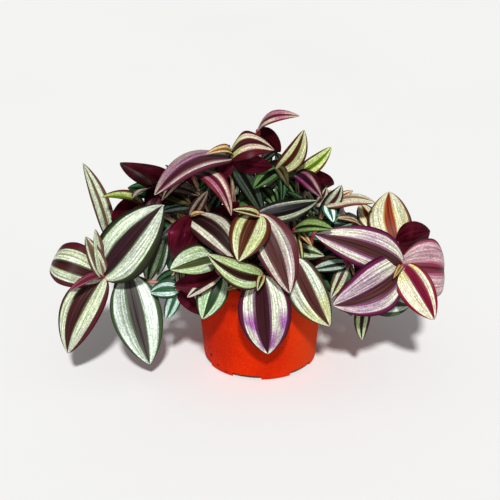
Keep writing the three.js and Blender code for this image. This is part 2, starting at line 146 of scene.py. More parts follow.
def leafFace():
    # the upper side: a dark heart along the midrib, two silvery bands and a dark rim, drawn out along the veins
    look = {
        "streaks": (24.0, 1.4, 3.0, 0.6), "fineStreaks": (52.0, 2.6, 2.0, 0.6), "flecks": (36.0, 13.0, 2.0, 0.7),
        "clouds": (2.4, 1.8, 2.0, 0.5), "grain": (760.0, 3.0, 0.8), "jitter": 0.085, "drift": 0.07, "soft": 0.012,
        "narrowing": -0.6, "narrowingPower": 2.5, "greyLines": (0.40, 0.58, 0.8, 0.0), "patches": (0.55, 0.72),
        "patchStreaks": 0.3, "blushCore": 0.4, "fineLight": (0.34, 0.66, 0.66, 1.2),
        "grainLight": (0.38, 0.62, 0.76, 1.24), "fleckLight": (0.40, 0.64, 0.88, 1.12), "seamShare": 0.85,
        "rimShare": 0.35, "heartLight": (0.3, 0.72, 0.62, 1.35), "heartLines": (0.56, 0.78, 0.0, 0.30),
        "rimLight": (0.3, 0.72, 0.7, 1.3), "rootRed": (0.02, 0.16, 0.75, 0.0), "edgeLight": (0.455, 0.48, 1.0, 0.5),
        "midribDark": (0.006, 0.022, 0.6, 0.0), "deepest": colour(24, 8, 12), "root": colour(150, 34, 62),
        "contrast": 1.22, "strength": 1.13, "richness": 1.08, "roughness": (0.3, 0.7, 0.52, 0.36), "gloss": 0.12,
        "bump": (0.5, 0.0005), "grainHeight": 0.3}
    paint = Paint("leafFace", look)
    plus, minus, times, mix, brighten = paint.plus, paint.minus, paint.times, paint.mix, paint.brighten
    u, v = paint.onLeaf()[:2]
    blushAt, blushRun, seed = paint.node("SeparateXYZ", {0: paint.data("leafData")["Vector"]}).outputs
    mark = paint.data("marks")
    rimLeft, heartLeft, heartRight = paint.node("SeparateColor", {0: mark["Color"]}).outputs
    rimRight = mark["Alpha"]
    band, shade, heart, rim = (paint.data(name)["Color"] for name in ("band", "shade", "heart", "rim"))
    seam, seamWide = (paint.data("seam")[part] for part in ("Color", "Alpha"))
    blush, blushMuch = (paint.data("blush")[part] for part in ("Color", "Alpha"))
    streak, fine, fleck, cloud = (paint.noiseOnLeaf(name, seed)
                                  for name in ("streaks", "fineStreaks", "flecks", "clouds"))
    grain = paint.noiseHere("grain")

    def centred(value, amount):
        return paint.maths("MULTIPLY_ADD", value, amount, -amount / 2)

    shifted = plus(u, plus(centred(streak, look["jitter"]), centred(cloud, look["drift"])))

    def between(left, right, grow):
        # 1 between two lines that run along the leaf
        after = paint.step(minus(shifted, minus(left, grow)), -look["soft"], look["soft"])
        return times(after, paint.step(minus(shifted, plus(right, grow)), -look["soft"], look["soft"], 1.0, 0.0))

    middle = times(plus(heartLeft, heartRight), 0.5)
    taper = paint.maths("MULTIPLY_ADD", paint.maths("POWER", v, look["narrowingPower"]), look["narrowing"], 1.0)
    halfHeart = times(times(minus(heartRight, heartLeft), 0.5), taper)
    left, right = minus(middle, halfHeart), plus(middle, halfHeart)

    # the bands: silver broken by greyer lines along the veins, a blush in patches and a glitter of fine grain
    tone = mix(paint.by(streak, "greyLines"), band, shade)
    nearBlush = paint.step(paint.maths("ABSOLUTE", minus(v, blushAt)), blushRun, times(blushRun, look["blushCore"]))
    patches = paint.by(paint.maths("MULTIPLY_ADD", streak, look["patchStreaks"], cloud), "patches")
    tone = mix(times(times(nearBlush, patches), blushMuch), tone, blush)
    for texture, light in ((fine, "fineLight"), (grain, "grainLight"), (fleck, "fleckLight")):
        tone = brighten(tone, paint.by(texture, light))
    tone = mix(times(between(left, right, seamWide), look["seamShare"]), tone, seam)
    inside = between(rimLeft, rimRight, times(seamWide, -1.0))
    tone = mix(minus(1.0, inside), tone, mix(look["rimShare"], seam, rim))
    # the heart, the rim, the red root, the dark edge and the midrib
    dark = mix(paint.by(streak, "heartLines"), brighten(heart, paint.by(fine, "heartLight")), shade)
    tone = mix(between(left, right, 0.0), tone, dark)
    tone = mix(between(rimLeft, rimRight, 0.0), brighten(rim, paint.by(fine, "rimLight")), tone)
    tone = mix(paint.by(v, "rootRed"), tone, look["root"])
    fromMidrib = paint.maths("ABSOLUTE", minus(u, 0.5))
    tone = brighten(tone, paint.by(fromMidrib, "edgeLight"))
    tone = mix(paint.by(fromMidrib, "midribDark"), tone, look["deepest"])
    tone = paint.node("Gamma", {"Color": tone, "Gamma": look["contrast"]}).outputs[0]
    tone = brighten(tone, look["strength"])
    tone = paint.node("HueSaturation", {"Color": tone, "Saturation": look["richness"]}).outputs[0]
    height = plus(times(streak, 1 - look["grainHeight"]), times(grain, look["grainHeight"]))
    return paint.finish(tone, streak, height)


def leafBack():
    # the underside: glossy wine red with the veins as lighter lines
    look = {"deep": colour(42, 4, 10), "light": colour(104, 26, 42), "sheen": colour(190, 84, 150),
            "veins": (34.0, 1.2, 2.0, 0.5), "veinSeed": 3.0, "veinLight": (0.42, 0.7, 0.0, 0.6), "clouds": (90.0,),
            "cloudLight": (0.4, 0.75, 0.0, 0.5), "roughness": (0.3, 0.7, 0.33, 0.23), "gloss": 0.3,
            "refraction": 1.3, "bump": (0.3, 0.0003)}
    paint = Paint("leafBack", look)
    veins = paint.noiseOnLeaf("veins", look["veinSeed"])
    tone = paint.mix(paint.by(veins, "veinLight"), look["deep"], look["light"])
    tone = paint.mix(paint.by(paint.noiseHere("clouds"), "cloudLight"), tone, look["light"])
    paint.shader["Specular Tint"].default_value = look["sheen"]
    paint.shader["IOR"].default_value = look["refraction"]
    return paint.finish(tone, veins)


def stemSkin():
    # jointed stems: tan-green between the joints with lengthwise streaks, crimson at the joints
    look = {"skin": colour(204, 182, 140), "streak": colour(146, 84, 74), "joint": colour(158, 30, 58),
            "streaks": (14.0, 3.0, 3.0, 0.6), "streakDark": (0.42, 0.62), "roughness": (0.3, 0.7, 0.48, 0.35),
            "bump": (0.3, 0.0003)}
    paint = Paint("stemSkin", look)
    streak = paint.noiseOnLeaf("streaks", 0.0)
    tone = paint.mix(paint.by(streak, "streakDark"), look["skin"], look["streak"])
    return paint.finish(paint.mix(paint.data("nearJoint")["Fac"], tone, look["joint"]), streak)


def potPlastic():
    # matte red-orange plastic: a fine grain, faint clouds, pale spots, painted light that makes its right side
    # paler, specks of soil low on the left
    look = {"orange": colour(208, 39, 0), "deep": colour(172, 22, 0), "faded": colour(228, 74, 16),
            "clouds": (38.0, 3.0), "cloudDark": (0.35, 0.7, 0.0, 0.6), "mottle": (900.0, 2.0, 0.7),
            "mottleDark": (0.36, 0.64, 0.0, 0.5), "spots": (800.0, 3.0, 0.7), "spotPale": (0.46, 0.68, 0.0, 0.3),
            "sidePale": (0.012, 0.055, 0.0, 0.62), "grain": (2600.0, 2.0, 0.6), "roughness": (0.3, 0.7, 0.54, 0.68),
            "gloss": 0.04, "bump": (0.18, 0.0002), "speck": colour(44, 10, 8), "speckEdge": (0.7, 1.2), "dirt": 0.9,
            "specks": [(-0.0449, -0.0257, 0.018, 0.0013), (-0.0432, -0.0269, 0.0118, 0.0018),
                       (-0.0371, -0.0342, 0.0053, 0.0011), (-0.0300, -0.0408, 0.0026, 0.0010)]}
    paint = Paint("potPlastic", look)
    tone = look["orange"]
    for noise, share, other in (("clouds", "cloudDark", "deep"), ("mottle", "mottleDark", "deep"),
                                ("spots", "spotPale", "faded")):
        tone = paint.mix(paint.by(paint.noiseHere(noise), share), tone, look[other])
    # painted light: towards its right side the pot is mixed into a paler orange, as lit more from the right
    across = paint.node("SeparateXYZ", {0: paint.here()}).outputs["X"]
    tone = paint.mix(paint.by(across, "sidePale"), tone, look["faded"])
    for x, y, z, size in look["specks"]:
        away = paint.node("VectorMath", {0: paint.here(), 1: (x, y, z)}, operation="DISTANCE").outputs["Value"]
        low, high = (size * edge for edge in look["speckEdge"])
        tone = paint.mix(paint.step(away, low, high, look["dirt"], 0.0), tone, look["speck"])
    return paint.finish(tone, paint.noiseHere("grain"))


def pottingSoil():
    # dark crumbs with a few pale bits
    look = {"dark": colour(30, 20, 14), "brown": colour(74, 52, 36), "pale": colour(150, 136, 112),
            "crumbs": (420.0, 4.0, 0.65), "crumbLight": (0.38, 0.66), "bits": 260.0,
            "bitLight": (0.10, 0.16, 0.5, 0.0), "roughness": (0.3, 0.7, 0.98, 0.86), "bump": (0.8, 0.0012)}
    paint = Paint("pottingSoil", look)
    crumbs = paint.noiseHere("crumbs")
    bits = paint.node("TexVoronoi", {"Vector": paint.here(), "Scale": look["bits"]}).outputs["Distance"]
    tone = paint.mix(paint.by(crumbs, "crumbLight"), look["dark"], look["brown"])
    return paint.finish(paint.mix(paint.by(bits, "bitLight"), tone, look["pale"]), crumbs)


finishes = {"face": leafFace(), "back": leafBack(), "stem": stemSkin(), "pot": potPlastic(), "soil": pottingSoil()}
print("finishes made")

# light and camera values
studio = {
    "floor": colour(248, 248, 247), "floorShade": colour(240, 240, 239), "floorClouds": 1.5, "floorRoughness": 0.9,
    "floorSize": 24, "floorDrop": 0.0003, "room": 0.27, "sunPower": 3.3, "sunRise": 45.0, "sunTurn": -89,
    "sunSoftness": 5.0, "target": (-0.009, 0.0, 0.101), "distance": 1.0, "rise": 25.0, "lens": 82.76,
    "sensor": 36.0, "clip": (0.01, 50.0),
}


def eyePlace():
    # where the camera stands, in metres
    rise = math.radians(studio["rise"])
    return Vector(studio["target"]) + Vector((0, -math.cos(rise), math.sin(rise))) * studio["distance"]


# the leafy stems
plant = {
    "stemRadius": 1.8, "jointRadius": 2.35, "swellRun": 3.2, "redRun": 7.0, "stemSides": 10, "rings": 14,
    "firstSide": (0.3, 0.9, 0.1), "stemEnd": ((0.8, 0.8), (1.5, 0.35)), "skinPerMm": 0.02, "stemFoot": 60,
    "soilEdge": 76, "rootDepth": 1.5, "rise": 0.55, "fall": 0.78, "thick": 0.6, "thinEdge": 0.28, "fullWidth": 26,
    "leastThick": 0.6, "puff": 0.085, "wave": 0.035, "waves": (1.6, 0.7), "otherSide": 1.9, "largeCells": (14, 32),
    "smallCells": (8, 16), "stemPhase": 2.399, "leafPhase": 1.7, "colourPhase": 5,
    "usualMarks": (0.10, 0.38, 0.60, 0.88), "markPlay": 0.025, "markPhases": (3.1, 5.3, 7.9, 4.7),
}

# The joints go up the stem from the soil, in millimetres, and the first is the stem's place in the soil. A leaf's
# row says at which joint it grows, what leads from there to its tip, how wide it is, where its upper side looks in
# degrees round and up, how far it bows up in hundredths of its length, its fold along the midrib in degrees, and its
# colouring. Some go on with how far the leaf sweeps to the side, and with its marks: the hundredths of its breadth
# where the left rim ends, the heart begins and ends, and the right rim begins.
stems = {
    "left": {"joints": [(-30, -14), (-52, -24, 108), (-84, -32, 86), (-112, -34, 93), (-132, -46, 98)], "leaves": [
        (4, (52, 4, 63), 49, (-92, 35), 6, -6, "silver", 0, (6, 33, 58, 90)),
        (4, (-46, 24, 2), 38, (-120, 40), 40, -4, "plum", 0, (8, 31, 52, 86)),
        (4, (-32, -12, -67), 35, (-98, 15), 10, -6, "plum", 6, (10, 44, 74, 97)),
        (3, (17, -20, -75), 44, (-90, 15), 10, -6, "whiteGreen", 0, (5, 36, 63, 95)),
        (3, (-12, 8, -26), 15, (-90, 15), 8, 0, "deepGreen"),
        (4, (-25, -24, -2), 12, (-90, 60), 6, 45, "pink", 0, (12, 50, 80, 84)),
        (4, (-13, 6, 34), 17, (-70, 20), 5, 30, "mint", 0, (12, 28, 70, 88)),
        (4, (-5, 8, 40), 11, (-70, 20), 5, 20, "mint", 0, (-10, -5, 2, 72)),
    ]},
    "leftHigh": {"joints": [(-36, 4), (-62, 2, 112), (-99, -14, 148), (-128, -20, 122)], "leaves": [
        (3, (-18, -2, 68), 16, (-65, 10), 4, 15, "mint", 3, (8, 40, 53, 84)),
        (2, (-30, -28, 20), 17, (-90, 60), 6, 45, "lime"),
        (2, (-26, -12, -7), 24, (100, 5), 5, 10, "plum"),
    ]},
    "leftTop": {"joints": [(-26, 20), (-48, 16, 120), (-85, -2, 159)], "leaves": [
        (2, (-29, -32, 36), 33, (80, 20), -6, 10, "plum", -13),
        (2, (-19, -38, 8), 22, (90, 45), 5, 10, "plum"),
        (2, (27, -28, -2), 18, (-90, 45), 5, 0, "brownGreen"),
        (2, (36, -26, 4), 16, (-90, 60), 10, 10, "plumShade"),
        (2, (-10, -18, -16), 18, (-90, 30), 10, 0, "wine"),
    ]},
    "leftInner": {"joints": [(-40, -8), (-62, -10, 104), (-83, -20, 124)], "leaves": [
        (2, (-5, -3, -36), 16, (-90, 15), 8, 0, "frost"),
        # painted light: this leaf lies in shade but takes the brightest green tone
        (2, (-14, -6, -42), 18, (-110, 20), 12, 0, "greenEdge"),
        (2, (18, -22, 17), 15, (-90, 50), 5, 0, "teal"),
    ]},
    "leftLow": {"joints": [(-38, -24), (-46, -35, 107), (-69, -50, 88)], "leaves": [
        (2, (-11, -2, -28), 13, (-90, 10), 8, -10, "crumple"),
        (2, (21, -6, -21), 13, (90, 0), -10, 5, "plum"),
        (2, (-24, 4, -5), 17, (-90, 30), 5, 0, "crumple", 6),
    ]},
    "frontLeft": {"joints": [(-22, -16), (-42, -28, 120), (-57, -48, 153)], "leaves": [
        (2, (-14, -14, -32), 30, (90, 0), -35, 20, "plum"),
        (2, (38, -34, -24), 30, (-75, 40), 12, -6, "plumSilver", -7, (6, 31, 68, 90)),
        (2, (12, -10, 8), 7, (-90, 50), 5, 40, "cream"),
        (2, (14, 2, 22), 11, (-90, 30), 5, 10, "plumShade"),
    ]},
    "frontLeftLow": {"joints": [(-24, -29), (-29, -44, 104), (-34, -60, 107), (-38, -66, 126)], "leaves": [
        (3, (-34, -24, 0), 28, (-90, 50), 8, 6, "mossSilver", 0, (-10, 27, 50, 92)),
        (2, (-37, -8, -6), 26, (90, 0), -25, 15, "plum"),
        (2, (-26, -18, -12), 13, (-90, 40), 5, 10, "plumSilver"),
        (2, (-14, -16, -33), 26, (-95, 15), 8, -4, "greenEdge", 0, (4, 30, 56, 93)),
    ]},
    "front": {"joints": [(0, -34), (0, -54, 106), (1, -70, 110)], "leaves": [
        (2, (5, -6, -69), 44, (-90, 0), 8, 6, "violetTip", 0, (5, 40, 69, 96)),
        (2, (-43, -28, 33), 24, (-90, 40), 4, 4, "plumLime", -10, (6, 34, 60, 94)),
        (2, (-4, -16, -5), 10, (-90, 40), 5, 40, "young"),
        (2, (-30, -6, -10), 10, (-90, 60), 5, 10, "cream"),
    ]},
    "frontRight": {"joints": [(26, -28), (32, -48, 106), (27, -62, 121)], "leaves": [
        (2, (30, -8, -57), 33, (-80, 10), 8, -4, "plumGreen", 5, (5, 34, 62, 95)),
    ]},
    "centre": {"joints": [(-6, -14), (-2, -26, 122), (-3, -52, 156)], "leaves": [
        (2, (-15, -38, -23), 33, (-95, 45), 6, 8, "young", 0, (10, 43, 70, 92)),
        (2, (26, -32, -54), 34, (-85, 25), 8, 6, "rosySilver", -5, (14, 42, 77, 93)),
        (2, (-20, -12, 10), 13, (-90, 40), 8, 45, "young"),
        (2, (49, 12, 8), 20, (-90, 45), 3, 4, "dusk", 5, (12, 28, 70, 90)),
        (1, (24, 4, 26), 20, (-80, 40), 10, 0, "shadeGreen"),
    ]},
    "crown": {"joints": [(-16, 4), (-22, 0, 135), (-25, -14, 192)], "leaves": [
        (2, (-61, -36, -19), 38, (-95, 85), 19, -8, "lilac", 0, (5, 22, 50, 110)),
        (2, (-20, -18, 9), 10, (-90, 50), 30, 20, "cream"),
        (2, (36, -2, 7), 30, (-90, 60), 38, -8, "rosePlum", 0, (12, 36, 56, 80)),
        (2, (-13, -12, -20), 13, (90, 10), -20, 15, "plum"),
        (2, (35, -6, -6), 20, (90, 10), -10, 5, "plum"),
        (2, (27, -10, -47), 20, (-110, 10), -8, 0, "blackGreen"),
        (1, (20, -18, 12), 24, (-100, 50), 10, 0, "shadeGreen"),
    ]},
    "arch": {"joints": [(-32, 8), (-42, 0, 130), (-57, -20, 180)], "leaves": [
        (2, (33, -28, -26), 19, (-60, 60), 33, 0, "rose"),
        (2, (-24, -20, -16), 12, (-90, 60), 20, 0, "rosePlum"),
        (1, (24, -22, 26), 20, (80, 20), -10, 5, "plum"),
    ]},
    "top": {"joints": [(2, 22), (0, 20, 150), (-2, 18, 204)], "leaves": [
        (2, (34, -18, 19), 15, (-90, 60), 20, 0, "rose", 0, (5, 38, 62, 92)),
        (2, (19, -6, -17), 20, (90, 30), 5, 5, "plum"),
        (1, (12, -28, -4), 14, (-90, 60), 10, 10, "shadeGreen"),
        (1, (-20, -18, -14), 20, (-120, 50), 15, 0, "shadeGreen"),
    ]},
    "topRight": {"joints": [(18, 10), (20, 8, 135), (14, -2, 176)], "leaves": [
        (2, (22, 2, 35), 19, (-80, 30), 5, 10, "rustLime", 12, (10, 34, 54, 93)),
        (2, (-20, -24, -7), 19, (-90, 50), 8, 20, "shadeGreen"),
        (2, (3, -20, -22), 9, (-60, 30), 20, 10, "deepGreen"),
        (2, (9, -18, -8), 10, (-90, 50), 30, 20, "brownGreen"),
    ]},
    "topBack": {"joints": [(28, 24), (32, 20, 130), (31, 10, 168)], "leaves": [
        (2, (29, 4, 23), 15, (-90, 40), 4, 8, "lime", 9),
        (2, (20, -30, -10), 17, (-90, 55), 20, 0, "magenta", 0, (20, 45, 75, 95)),
        (2, (33, 14, -15), 26, (90, 20), -10, 5, "plum"),
        (1, (4, -22, 12), 12, (-90, 50), 5, 10, "teal"),
    ]},
    "rightHigh": {"joints": [(38, 2), (46, 4, 112), (57, -2, 144)], "leaves": [
        (2, (11, -6, 21), 14, (-90, 25), 5, 20, "plumGreen", 8),
        (2, (40, -8, 6), 22, (-90, 80), 14, -10, "paleRose", 0, (3, 36, 50, 92)),
        (2, (4, -20, -7), 12, (-90, 50), 5, 10, "aqua"),
        (2, (22, 4, 12), 9, (-90, 45), 5, 20, "pale"),
        (1, (34, -6, 16), 22, (-90, 50), 12, 0, "teal"),
    ]},
    "right": {"joints": [(34, -12), (60, -20, 114), (92, -30, 122), (117, -46, 108)], "leaves": [
        (3, (-74, -16, 36), 36, (-95, 20), 14, -6, "violet", 6, (6, 33, 64, 95)),
        (3, (-59, -38, -17), 47, (-95, 5), 6, 8, "violet", -4, (5, 31, 51, 95)),
        (3, (26, -26, -37), 30, (-85, 15), 6, 6, "yellowPink", 0, (6, 24, 50, 93)),
        (3, (40, 28, -19), 50, (-58, 28), 30, -4, "pink", 2, (2, 42, 58, 105)),
        (3, (-9, -20, -2), 8, (-90, 50), 5, 45, "cream"),
    ]},
    "rightBack": {"joints": [(40, 14), (59, 11, 114), (96, 3, 122), (117, -14, 114)], "leaves": [
        (3, (-5, 36, 33), 38, (-90, 40), 8, -6, "rust", -8, (4, 38, 62, 95)),
        (3, (29, 12, 6), 33, (90, 0), -10, 5, "plum"),
        (2, (-8, 20, 13), 18, (-90, 45), 8, 5, "rust"),
    ]},
    "rightLow": {"joints": [(42, -22), (49, -33, 107), (71, -48, 111), (89, -46, 76)], "leaves": [
        (3, (-3, -8, -34), 14, (-90, 10), 6, 10, "plumLime", 6),
        # painted light: this leaf lies in the shade of the right stem's leaves but takes the pale whiteGreen
        (3, (38, 8, -10), 24, (-90, 30), 10, 0, "whiteGreen"),
        (2, (-13, -12, -26), 13, (-90, 30), 5, 15, "plumGreen"),
        (2, (-29, -10, -1), 13, (-90, 50), 5, 10, "frost"),
        (2, (5, -8, -45), 15, (-90, 15), 5, 0, "deepGreen", 9),
    ]},
    "innerRight": {"joints": [(14, -22), (22, -34, 116), (28, -44, 140)], "leaves": [
        (2, (29, -26, 12), 17, (-90, 55), 14, 0, "green", 0, (12, 52, 72, 95)),
        (2, (6, -18, -26), 9, (-90, 40), 5, 40, "young"),
        (2, (13, -22, -5), 8, (-90, 60), 5, 30, "cream"),
        (1, (30, -18, 4), 18, (-90, 45), 10, 5, "mossSilver"),
    ]},
}

def leafFromRow(at, tip, wide, face, bow, fold, tone, sweep=0, marks=None):
    return {"at": at, "tip": tip, "wide": wide, "face": face, "bow": bow / 100, "fold": fold, "tone": tone,
            "sweep": sweep / 100, "marks": marks and [mark / 100 for mark in marks]}


for stem in stems.values():
    stem["leaves"] = [leafFromRow(*row) for row in stem["leaves"]]

# stems at the back, each like one of the others, turned about the pot's axis and drawn in by the last number
backStems = {
    "backLeft": ("left", -78, 0.86), "backRight": ("right", 66, 0.8), "backMiddle": ("rightLow", 100, 0.85),
    "backHighLeft": ("leftHigh", -36, 0.64), "backHighRight": ("frontLeft", 190, 0.9),
    "backLow": ("frontLeftLow", -129, 0.9), "backHang": ("front", 177, 0.86), "backTopLeft": ("leftTop", -40, 0.76),
    "backInner": ("leftInner", -33, 1), "backSide": ("rightHigh", 23, 0.87), "backCentre": ("centre", 204, 1),
    "backTop": ("topBack", 72, 0.95), "backRightLow": ("frontRight", 98, 0.9),
    "backFold": ("frontRight", 232.6, 0.85), "leftShort": ("innerRight", 250, 0.9),
}

# the colours of the pale bands, the greyer lines in them, the seam where a band meets the dark, the heart along the
# midrib, the rim and the blush, then in hundredths how strong the blush is, where along the leaf its middle is, how
# far it runs, and for some the seam's breadth
tones = {
    "silver": ((214, 220, 208), (160, 168, 150), (62, 84, 44), (62, 38, 44), (52, 52, 38),
        (190, 208, 168), 35, 30, 50),
    "whiteGreen": ((222, 230, 222), (160, 172, 156), (70, 92, 60), (86, 80, 78), (84, 98, 74),
        (190, 210, 180), 30, 50, 60),
    "greenEdge": ((220, 230, 216), (160, 184, 154), (56, 92, 40), (58, 76, 50), (70, 92, 52),
        (160, 190, 130), 40, 50, 60),
    "plum": ((212, 218, 200), (156, 162, 136), (76, 72, 44), (74, 40, 42), (92, 42, 50),
        (196, 208, 170), 35, 30, 50),
    "plumSilver": ((222, 226, 208), (160, 156, 140), (78, 58, 48), (52, 28, 30), (70, 36, 38),
        (190, 170, 160), 40, 50, 60),
    "plumLime": ((210, 219, 194), (150, 158, 116), (70, 76, 40), (62, 34, 30), (84, 44, 44),
        (160, 190, 110), 45, 40, 50),
    "plumGreen": ((220, 228, 216), (166, 164, 140), (92, 84, 58), (92, 56, 54), (88, 72, 56),
        (206, 206, 130), 50, 75, 30),
    "violetTip": ((232, 238, 220), (172, 172, 156), (92, 44, 78), (66, 30, 38), (96, 42, 58),
        (144, 48, 150), 80, 64, 26, 5),
    "rosySilver": ((222, 226, 206), (168, 158, 148), (96, 60, 62), (92, 60, 58), (104, 50, 58),
        (190, 150, 180), 30, 60, 50),
    "young": ((222, 225, 196), (178, 180, 140), (104, 84, 42), (92, 54, 42), (104, 56, 46),
        (190, 206, 130), 50, 30, 60),
    "lime": ((200, 212, 156), (160, 174, 104), (110, 130, 50), (104, 130, 40), (104, 62, 52),
        (216, 220, 160), 40, 60, 50),
    "rustLime": ((204, 206, 170), (150, 148, 106), (92, 84, 44), (82, 40, 30), (92, 46, 38),
        (206, 208, 172), 40, 70, 50),
    "mint": ((206, 216, 192), (160, 166, 142), (92, 72, 60), (128, 108, 92), (112, 82, 74),
        (214, 222, 200), 40, 50, 60),
    # dusk: the leaf's own dark heart, with painted shade that darkens the whole tone
    "dusk": ((182, 192, 164), (92, 90, 92), (50, 40, 52), (16, 8, 12), (26, 22, 18), (112, 72, 128), 80, 12, 40),
    "lilac": ((208, 206, 184), (158, 126, 132), (112, 56, 88), (80, 42, 48), (104, 54, 66),
        (146, 74, 132), 60, 50, 50, 5),
    "rose": ((222, 216, 192), (176, 140, 140), (104, 50, 66), (106, 52, 64), (118, 56, 62),
        (170, 92, 128), 75, 45, 40),
    "rosePlum": ((224, 218, 196), (176, 150, 138), (96, 50, 58), (76, 34, 38), (92, 38, 46),
        (200, 212, 140), 80, 10, 40),
    "magenta": ((192, 178, 152), (120, 84, 90), (110, 36, 92), (44, 12, 20), (60, 20, 24),
        (132, 38, 110), 75, 50, 60, 5),
    "violet": ((232, 236, 216), (178, 160, 156), (116, 54, 100), (86, 54, 54), (100, 42, 62),
        (150, 80, 156), 42, 72, 50, 5),
    "pink": ((206, 184, 184), (172, 138, 146), (160, 100, 120), (122, 66, 78), (136, 76, 90),
        (176, 134, 150), 40, 60, 60, 4),
    "yellowPink": ((224, 226, 204), (190, 172, 150), (128, 52, 66), (124, 36, 62), (142, 44, 66),
        (224, 210, 110), 80, 12, 28),
    "rust": ((224, 226, 206), (182, 180, 150), (170, 132, 80), (146, 74, 56), (100, 72, 64),
        (226, 206, 140), 30, 60, 40),
    "pale": ((218, 212, 180), (172, 160, 126), (146, 92, 74), (146, 86, 76), (136, 78, 66),
        (226, 214, 180), 40, 50, 60),
    "paleRose": ((228, 228, 204), (196, 184, 158), (124, 92, 78), (150, 126, 104), (124, 82, 72),
        (206, 184, 176), 40, 50, 60),
    "cream": ((226, 212, 178), (178, 150, 108), (150, 96, 64), (150, 112, 74), (136, 72, 58),
        (196, 196, 116), 40, 30, 60),
    # brownGreen: a dark brown-green, painted shade for leaves deep in the mound
    "brownGreen": ((96, 92, 60), (66, 58, 38), (86, 70, 48), (52, 34, 22), (56, 36, 26),
        (130, 134, 96), 40, 50, 60),
    "frost": ((196, 212, 198), (136, 154, 138), (60, 70, 58), (54, 54, 52), (64, 50, 46),
        (150, 172, 160), 40, 50, 60),
    # teal and deepGreen: the leaves' own greens, darkened with painted shade for leaves deep in the mound
    "teal": ((150, 180, 158), (82, 112, 92), (30, 56, 40), (22, 44, 32), (30, 48, 34), (84, 130, 108), 50, 50, 60),
    "deepGreen": ((96, 132, 98), (48, 78, 54), (28, 52, 30), (14, 26, 16), (24, 46, 24), (56, 96, 62), 50, 50, 60),
    "shadeGreen": ((140, 170, 124), (70, 94, 58), (36, 62, 28), (20, 26, 12), (56, 78, 40),
        (84, 120, 66), 50, 50, 60),
    "green": ((150, 168, 122), (92, 112, 66), (52, 84, 34), (36, 46, 20), (56, 66, 34),
        (168, 190, 124), 50, 30, 60),
    "crumple": ((190, 212, 204), (126, 150, 138), (34, 74, 48), (70, 108, 80), (52, 84, 62),
        (214, 226, 220), 50, 50, 60),
    # aqua: paler than the leaf's own colour, painted light for leaves that lie in the shade of others
    "aqua": ((244, 255, 252), (206, 236, 228), (84, 136, 108), (60, 112, 88), (84, 128, 104),
        (244, 252, 250), 50, 50, 60),
    "wine": ((104, 44, 54), (76, 26, 36), (62, 20, 30), (46, 12, 18), (52, 14, 22), (120, 60, 84), 40, 50, 60),
    # blackGreen: near-black painted shade for leaves deep in the mound
    "blackGreen": ((92, 106, 84), (38, 44, 34), (22, 28, 18), (14, 14, 10), (20, 22, 14), (66, 68, 84), 50, 60, 40),
    "mossSilver": ((214, 226, 204), (158, 172, 146), (66, 78, 44), (86, 92, 62), (62, 56, 40),
        (176, 196, 130), 50, 40, 60),
    "plumShade": ((146, 138, 122), (98, 84, 76), (56, 36, 32), (52, 26, 28), (62, 32, 32),
        (110, 92, 84), 40, 50, 60),
}

def selectOnly(piece, kind, wanted):
    # in edit mode, with only the wanted vertices or faces selected
    makeActive(piece)
    bpy.ops.object.mode_set(mode="EDIT")
    bpy.ops.mesh.select_mode(type=kind)
    bpy.ops.mesh.select_all(action="DESELECT")
    bpy.ops.object.mode_set(mode="OBJECT")
    for part in piece.data.vertices if kind == "VERT" else piece.data.polygons:
        part.select = wanted(part)
    bpy.ops.object.mode_set(mode="EDIT")


def linked(name, data):
    thing = bpy.data.objects.new(name, data)
    bpy.context.scene.collection.objects.link(thing)
    return thing


def layUv(mesh, uvs):
    # each vertex's share across and along the leaf or the stem
    layer = mesh.uv_layers.new(name="leafMap")
    for loop in mesh.loops:
        layer.data[loop.index].uv = uvs[loop.vertex_index]


def bladePattern(name, across, along):
    # a flat blade to copy: a grid pinched at both ends and given a thickness, x across, y along, z below its face
    makeActive()
    bpy.ops.mesh.primitive_grid_add(x_subdivisions=across, y_subdivisions=along, size=2, location=(0, 0, 0))
    pattern = bpy.context.object
    pattern.name = name
    for end in (-1, 1):
        selectOnly(pattern, "VERT", lambda vertex: abs(vertex.co.y - end) < 1e-4)
        bpy.ops.mesh.merge(type="CENTER")
    makeActive(pattern)
    wall = pattern.modifiers.new("wall", "SOLIDIFY")
    wall.thickness, wall.offset, wall.use_even_offset = 1.0, -1.0, False
    bpy.ops.object.modifier_apply(modifier="wall")
    mesh = pattern.data
    for kind in ("face", "back"):
        mesh.materials.append(finishes[kind])
    halfDown, rimEdges = -0.5, {}
    for face in mesh.polygons:
        face.use_smooth = True
        heights = [mesh.vertices[v].co.z for v in face.vertices]
        face.material_index = 1 if max(heights) < halfDown else 0
        for edge in face.edge_keys:
            rimEdges.setdefault(edge, set()).add(min(heights) < halfDown < max(heights))
    for edge in mesh.edges:
        edge.use_edge_sharp = len(rimEdges[edge.key]) > 1
    while mesh.uv_layers:
        mesh.uv_layers.remove(mesh.uv_layers[0])
    layUv(mesh, [((vertex.co.x + 1) / 2, (vertex.co.y + 1) / 2) for vertex in mesh.vertices])
    pattern.select_set(False)
    flat = np.array([vertex.co for vertex in mesh.vertices], float)
    return pattern, flat, [tuple(face.vertices) for face in mesh.polygons]


def outline(share):
    # half the blade's width at a share of its length, as a share of the widest
    rise, fall = plant["rise"], plant["fall"]
    widest = rise / (rise + fall)
    return share ** rise * (1 - share) ** fall / (widest ** rise * (1 - widest) ** fall)


def unit(vector):
    return vector / np.linalg.norm(vector)


